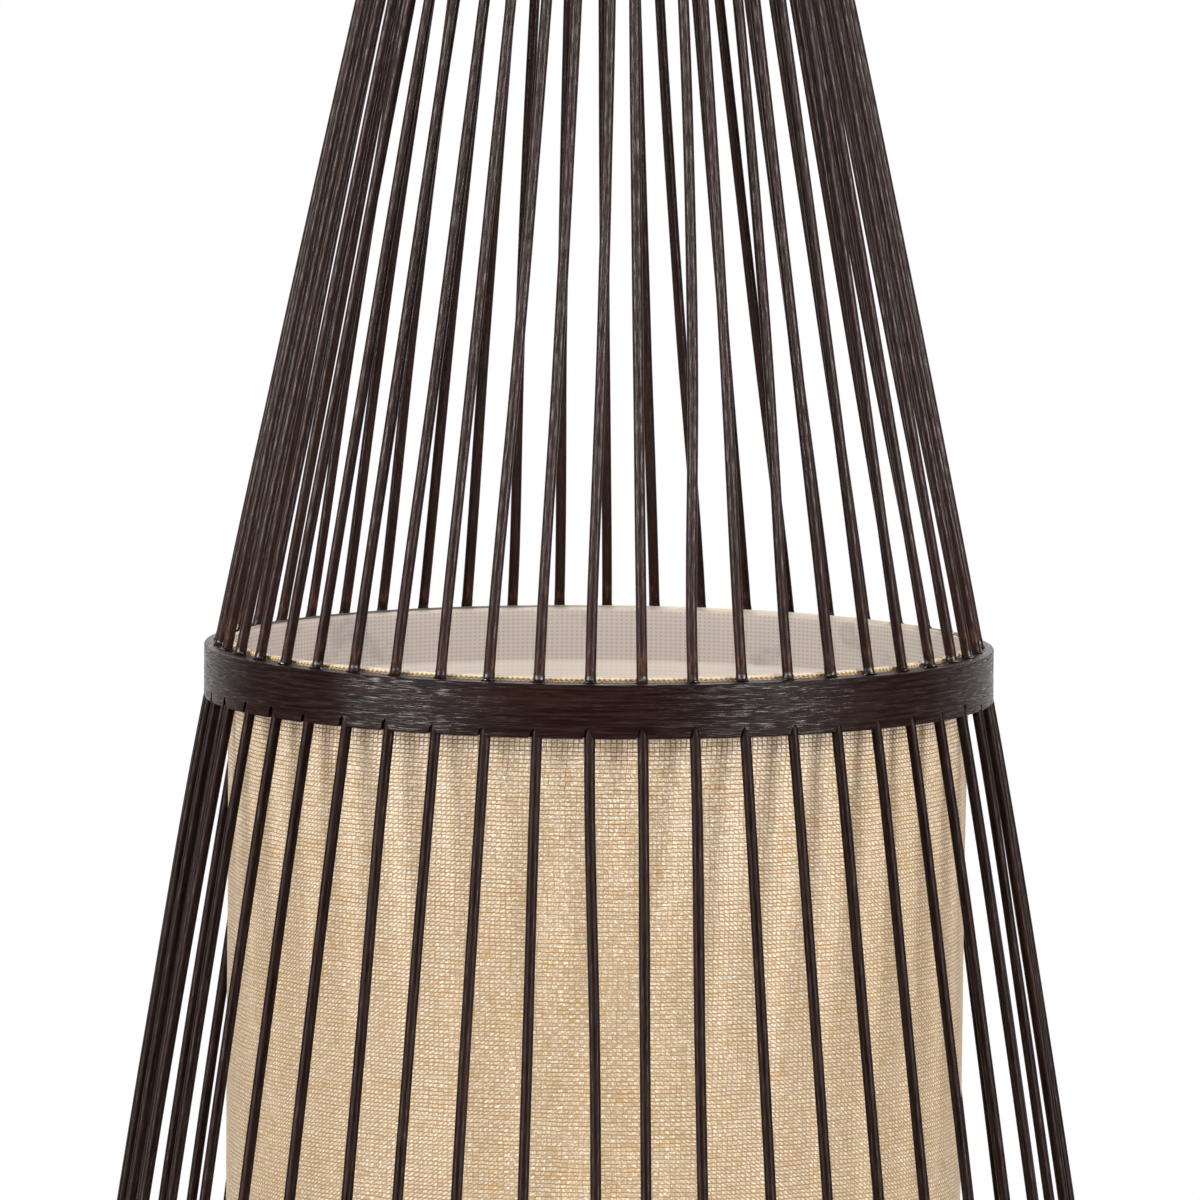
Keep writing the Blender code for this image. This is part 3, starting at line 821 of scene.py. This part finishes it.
def make_spider():
    """The wire ring, its three spokes and the hub that drops over the lampholder."""
    enamel = coated("white_enamel", (0.70, 0.69, 0.66), (0.80, 0.79, 0.77), 0.34)
    low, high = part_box("shade_spider")
    height = (low.z + high.z) / 2
    wire = 0.0015
    circle = high.x - wire
    steps = 240
    sides = 12
    turns = [TAU * side / sides for side in range(sides)]
    rows = []
    for step in range(steps):
        angle = TAU * step / steps
        point = on_angle(angle, circle, height)
        outward = on_angle(angle, 1, 0)
        rows.append([point + (outward * math.cos(turn) + Vector((0, 0, math.sin(turn)))) * wire
                     for turn in turns])
    along = [TAU * circle * step / steps for step in range(steps + 1)]
    across = [TAU * wire * side / sides for side in range(sides + 1)]
    parts = [mesh_piece("fine_spider", rows, along, across, enamel, loop_rows=True)]

    hub_outer, hub_inner, hub_half = 0.0245, 0.0203, 0.00125
    hub = [(hub_outer, height + hub_half), (hub_outer, height - hub_half),
           (hub_inner, height - hub_half), (hub_inner, height + hub_half)]
    parts.append(turned("hub", rounded(hub, 0.0006), 72, enamel))

    spokes = 3
    spoke_start = 0.0232
    spoke_steps = 24
    for spoke in range(spokes):
        angle = math.pi + TAU * spoke / spokes
        radii = []
        points = []
        for step in range(spoke_steps + 1):
            share = step / spoke_steps
            reach = spoke_start + (circle - spoke_start) * share
            points.append(on_angle(angle, reach, height))
            weld_swell = 0.0006 * math.exp(-share * 30) + 0.0006 * math.exp(-(1 - share) * 40)
            radii.append(0.00112 + weld_swell)
        parts.append(swept("spoke", points, radii, sides, enamel))
    stand_in(joined("fine_spider", parts), "shade_spider", "lamp")


# ---- the stand, the lampholder and the bulb -----------------------------------------------

def bar_outline(reach, low, thick, tab):
    """The side view of the bar: flat, with both ends bent up on a small radius."""
    bend = 0.004
    bend_steps = 6
    outline = []
    for side in (1, -1):
        arc = []
        for step in range(bend_steps + 1):
            turn = math.pi / 2 * step / bend_steps
            arc.append((side * (reach - bend + bend * math.sin(turn)),
                        low + bend - bend * math.cos(turn)))
        inner = [(side * (reach - thick), tab), (side * (reach - thick), low + thick)]
        half = arc + [(side * reach, tab)] + inner
        outline += half if side == 1 else half[::-1]
    return outline


def make_stand():
    """The bar, the tube with its weld, and the screws through the bent-up ends."""
    paint = coated("black_powder_coat", (0.006, 0.006, 0.0065), (0.012, 0.0115, 0.0115), 0.52,
                   grain=2200.0, relief=0.00006, level=0.12)
    low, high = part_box("lamp_stand")
    thick = 0.004
    tab = low.z + 0.013
    bevel_wide, bevel_deep = 0.0006, 0.0005
    outline = bar_outline(high.x, low.z, thick, tab)
    width = high.y
    rows = []
    for y in (-width, -width + bevel_wide, width - bevel_wide, width):
        inset = bevel_deep if abs(y) == width else 0.0
        row = []
        for x, z in outline:
            lift = inset if z < low.z + thick / 2 else -inset
            row.append(Vector((x * (1 - inset / high.x), y, z + lift)))
        rows.append(row)
    lengths = running_length([Vector((x, 0, z)) for x, z in outline + outline[:1]])
    bar = mesh_piece("fine_stand", rows, [row[0].y for row in rows], lengths, paint, ends=True)

    tube_radius = 0.0080
    foot = low.z + thick
    tube = [(0.0, foot), (0.0104, foot), (0.0098, foot + 0.0011), (0.0084, foot + 0.0021),
            (tube_radius, foot + 0.0030), (tube_radius, high.z), (0.0, high.z)]
    parts = [bar, turned("tube", tube, 48, paint, closed=False)]

    screw = [(0.0, 0.0), (0.0034, 0.0), (0.0033, 0.0008), (0.0026, 0.0016), (0.0014, 0.0020),
             (0.0012, 0.0012), (0.0, 0.0012)]
    for side in (1, -1):
        head = turned("screw", screw, 24, paint, closed=False)
        facing = Matrix.Rotation(-side * math.pi / 2, 4, "Y")
        place = Matrix.Translation((side * (high.x - thick), 0, tab - 0.0045))
        head.data.transform(place @ facing)
        parts.append(head)
    stand_in(joined("fine_stand", parts), "lamp_stand", "lamp")


def make_lampholder():
    """A black phenolic E27 holder with a groove for the hub, a ribbed collar and a thread."""
    plastic = coated("black_bakelite", (0.005, 0.005, 0.0055), (0.009, 0.0085, 0.0085), 0.22,
                     grain=500.0, relief=0.00002, level=0.28)
    low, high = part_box("lampholder")
    hub_low, hub_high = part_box("shade_spider")
    hub = (hub_low.z + hub_high.z) / 2
    groove_low = hub - 0.0019
    groove_high = hub + 0.0019
    collar = 0.0255
    collar_top = high.z - 0.004
    floor = low.z + 0.017                 # the bottom of the bore
    corners = [(0.0, low.z), (0.008, low.z), (0.008, low.z + 0.006), (0.0185, low.z + 0.014),
               (0.0185, low.z + 0.0245), (0.0225, low.z + 0.026), (0.0225, groove_low),
               (0.0197, groove_low), (0.0197, groove_high), (collar, groove_high),
               (collar, collar_top), (0.0172, collar_top), (0.0172, high.z), (0.0144, high.z),
               (0.0144, floor)]
    outside = rounded(corners, 0.0007, 3)[4:-4]     # without the first and the last corner
    bore = 0.0143
    bore_top = high.z - 0.001
    bore_steps = 41
    thread = [(bore, bore_top - (bore_top - floor - 0.0002) * step / bore_steps)
              for step in range(bore_steps + 1)]
    outline = [(0.0, low.z)] + outside + thread + [(0.0, floor)]
    ribs = 36

    def ribs_and_thread(angle, radius, height):
        if radius > collar - 0.0003 and groove_high + 0.001 < height < collar_top - 0.0008:
            radius -= 0.0005 * max(0.0, math.cos(angle * ribs)) ** 2
        if radius == bore:
            radius += 0.00025 * math.sin(TAU * height / SCREW_PITCH + angle)
        return radius, height

    holder = turned("fine_lampholder", outline, 216, plastic, closed=False, shape=ribs_and_thread)
    stand_in(holder, "lampholder", "lamp")
    return plastic


def make_gland(plastic):
    """The bush in the cord hole, its flange on the inside."""
    low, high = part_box("cable_gland")
    middle = (low + high) / 2
    outward = Vector((middle.x, middle.y, 0)).normalized()
    seat = BASE_OUTER - BASE_WALL - 0.0006
    back = seat - 0.0025
    mouth = BASE_OUTER - 0.0009
    corners = [(0.004, back), (0.0078, back), (0.0080, seat), (0.0056, seat), (0.0056, mouth),
               (0.004, mouth)]
    gland = turned("fine_gland", rounded(corners, 0.0006, 3), 48, plastic)
    turn = outward.to_track_quat("Z", "Y").to_matrix().to_4x4()
    gland.data.transform(Matrix.Translation((0, 0, middle.z)) @ turn)
    stand_in(gland, "cable_gland", "lamp")


def make_bulb():
    """Contact button, threaded cap and opal glass."""
    solder = coated("solder", (0.45, 0.45, 0.46), (0.62, 0.62, 0.62), 0.42, metallic=1.0)
    low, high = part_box("bulb_contact")
    button = [(0.0, low.z), (0.0020, low.z + 0.00004), (0.0036, low.z + 0.0003),
              (0.0045, low.z + 0.0009), (0.0047, high.z), (0.0, high.z)]
    contact = turned("fine_contact", button, 48, solder, closed=False)
    stand_in(contact, "bulb_contact", "bulb_base")

    plate = coated("nickel_brass", (0.58, 0.50, 0.36), (0.74, 0.65, 0.48), 0.28, metallic=1.0)
    low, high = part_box("bulb_cap")
    radius = high.x
    inner = radius - 0.001
    thread_low = low.z + 0.0049
    thread_high = high.z - 0.0015
    thread_steps = 45
    thread = [(radius, thread_low + (high.z - 0.0006 - thread_low) * step / thread_steps)
              for step in range(thread_steps + 1)]
    outline = [(0.0, low.z), (0.0060, low.z), (0.0086, low.z + 0.0024),
               (radius - 0.0007, low.z + 0.0045)]
    outline += thread + [(radius - 0.0004, high.z), (inner, high.z - 0.0003),
                         (inner, low.z + 0.0059), (0.0080, low.z + 0.0034),
                         (0.0, low.z + 0.0024)]

    def helix(angle, distance, height):
        if distance == radius:
            fade = (smooth_step(thread_low, thread_low + 0.0015, height)
                    * smooth_step(thread_high, thread_high - 0.0025, height))
            wave = 0.5 + 0.5 * math.cos(TAU * height / SCREW_PITCH + angle)
            distance -= 0.0009 * fade * wave
        return distance, height

    cap = turned("fine_bulb_cap", outline, 96, plate, closed=False, shape=helix)
    stand_in(cap, "bulb_cap", "bulb")

    low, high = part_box("bulb_globe")
    globe = 0.030
    wall = 0.001
    centre = high.z - globe
    outside = [(0.0128, low.z), (0.0137, centre - 0.0410), (0.0151, centre - 0.0325)]
    arc_steps = 27
    for step in range(arc_steps):
        lift = math.radians(-56 + 146 * step / arc_steps)
        outside.append((globe * math.cos(lift), centre + globe * math.sin(lift)))
    outside.append((0.0, centre + globe))
    inside = [(distance - wall, height) for distance, height in outside[:-1]]
    inside.append((0.0, centre + globe - wall))
    glass = turned("fine_bulb_globe", outside + inside[::-1], 96, opal_glass(), closed=True)
    stand_in(glass, "bulb_globe", "bulb")


# ---- studio -------------------------------------------------------------------------------

AIM = Vector((0.0002, 0, HOOP_TOP + 0.0157))
VIEW_AZIMUTH = math.radians(1.19)
VIEW_ELEVATION = math.radians(5.4)
VIEW_DISTANCE = 3.310
VIEW_ROLL = math.radians(0.5)
ROOM_FRONT = 0.20                         # how bright the room is, as light on the lamp
ROOM_BACK = 1.15
ROOM_TURN = (0.40, 1.0)                   # where it changes: -1 is in front, 1 behind
FLOOR_RADIUS = 1.25
FLOOR_FADE = (0.55, 1.2)                  # how far from the axis the floor fades away
SOFTBOX_DISTANCE = 2.2
SOFTBOXES = (                             # name, azimuth, elevation, width, height, watts
    ("softbox_left", -55, 7, 1.4, 2.2, 102),
    ("softbox_right", 55, 7, 1.0, 2.2, 93),
    ("softbox_front", 0, 24, 2.7, 0.5, 13),
    ("softbox_back", 180, 54, 1.6, 1.2, 160),
)


def direction(azimuth, elevation):
    """The unit vector from the lamp towards an azimuth from the front and an elevation."""
    return Vector((math.sin(azimuth) * math.cos(elevation),
                   -math.cos(azimuth) * math.cos(elevation), math.sin(elevation)))


def make_camera():
    """A long lens from the front, a little above the middle hoop."""
    data = bpy.data.cameras.new("camera")
    data.lens = 280
    data.sensor_width = 36
    data.clip_start = 0.1
    data.clip_end = 60
    camera = linked("camera", data)
    back = direction(VIEW_AZIMUTH, VIEW_ELEVATION)
    turn = (-back).to_track_quat("-Z", "Y").to_matrix().to_4x4()
    camera.matrix_world = (Matrix.Translation(AIM + back * VIEW_DISTANCE) @ turn
                           @ Matrix.Rotation(VIEW_ROLL, 4, "Z"))
    bpy.context.scene.camera = camera


def softbox(name, azimuth, elevation, width, height, power):
    """A large area light that faces the lamp's middle and isn't seen itself."""
    data = bpy.data.lights.new(name, "AREA")
    data.shape = "RECTANGLE"
    data.size = width
    data.size_y = height
    data.energy = power
    light = linked(name, data)
    towards = direction(math.radians(azimuth), math.radians(elevation))
    light.location = AIM + towards * SOFTBOX_DISTANCE
    light.rotation_mode = "QUATERNION"
    light.rotation_quaternion = towards.to_track_quat("Z", "Y")
    light.visible_camera = False


def make_world():
    """White behind the lamp; as light on it, a grey room that is darker in front than behind."""
    g = Graph("studio", "worlds", "ShaderNodeOutputWorld")
    place = g.add("ShaderNodeTexCoord").outputs["Generated"]
    depth = g.add("ShaderNodeSeparateXYZ", {"Vector": place}).outputs["Y"]
    bright = g.rise(depth, *ROOM_TURN, ROOM_FRONT, ROOM_BACK)
    room = g.add("ShaderNodeBackground", {"Color": rgb(1.0, 1.0, 1.0), "Strength": bright})
    white = g.add("ShaderNodeBackground", {"Color": rgb(1.0, 1.0, 1.0)})
    seen = g.add("ShaderNodeLightPath").outputs["Is Camera Ray"]
    both = g.add("ShaderNodeMixShader", {0: seen, 1: room.outputs[0], 2: white.outputs[0]})
    bpy.context.scene.world = g.finish(both.outputs[0])


def make_floor():
    """A pale round floor that fades into the white at its edge."""
    g = Graph("pale_floor")
    point = g.place()[0]
    flat = g.add("ShaderNodeVectorMath", {0: point, 1: (1, 1, 0)}, operation="MULTIPLY")
    reach = g.add("ShaderNodeVectorMath", {0: flat.outputs[0]}, operation="LENGTH")
    grey = g.mix(g.noise(point, scale=3.0), rgb(0.47, 0.47, 0.47), rgb(0.50, 0.50, 0.495))
    paper = g.surface(Base_Color=grey, Roughness=0.9)
    clear = g.add("ShaderNodeBsdfTransparent").outputs[0]
    fade = g.rise(reach.outputs["Value"], *FLOOR_FADE)
    material = g.finish(g.add("ShaderNodeMixShader", {0: fade, 1: paper, 2: clear}).outputs[0])
    bm = bmesh.new()
    bmesh.ops.create_circle(bm, cap_ends=True, radius=FLOOR_RADIUS, segments=96)
    data = bpy.data.meshes.new("floor")
    bm.to_mesh(data)
    bm.free()
    data.materials.append(material)
    floor = linked("floor", data)
    floor.location.z = -0.0004            # clear of the base hoop's underside


# ---- build --------------------------------------------------------------------------------

make_rods(stained_wood("rod_wood_stain", fibre_length=0.006, fibre_width=0.00050,
                       relief=0.00009, glints=0.19, level=0.050, polish=0.07, rods=True))
make_hoops(stained_wood("hoop_wood_stain", fibre_length=0.0070, fibre_width=0.00025,
                        relief=0.00010, glints=0.80, level=0.040, polish=0.13))
make_shade()
make_spider()
make_stand()
make_gland(make_lampholder())
make_bulb()
make_camera()
make_world()
make_floor()
for settings in SOFTBOXES:
    softbox(*settings)
bpy.context.scene.view_settings.view_transform = "Standard"
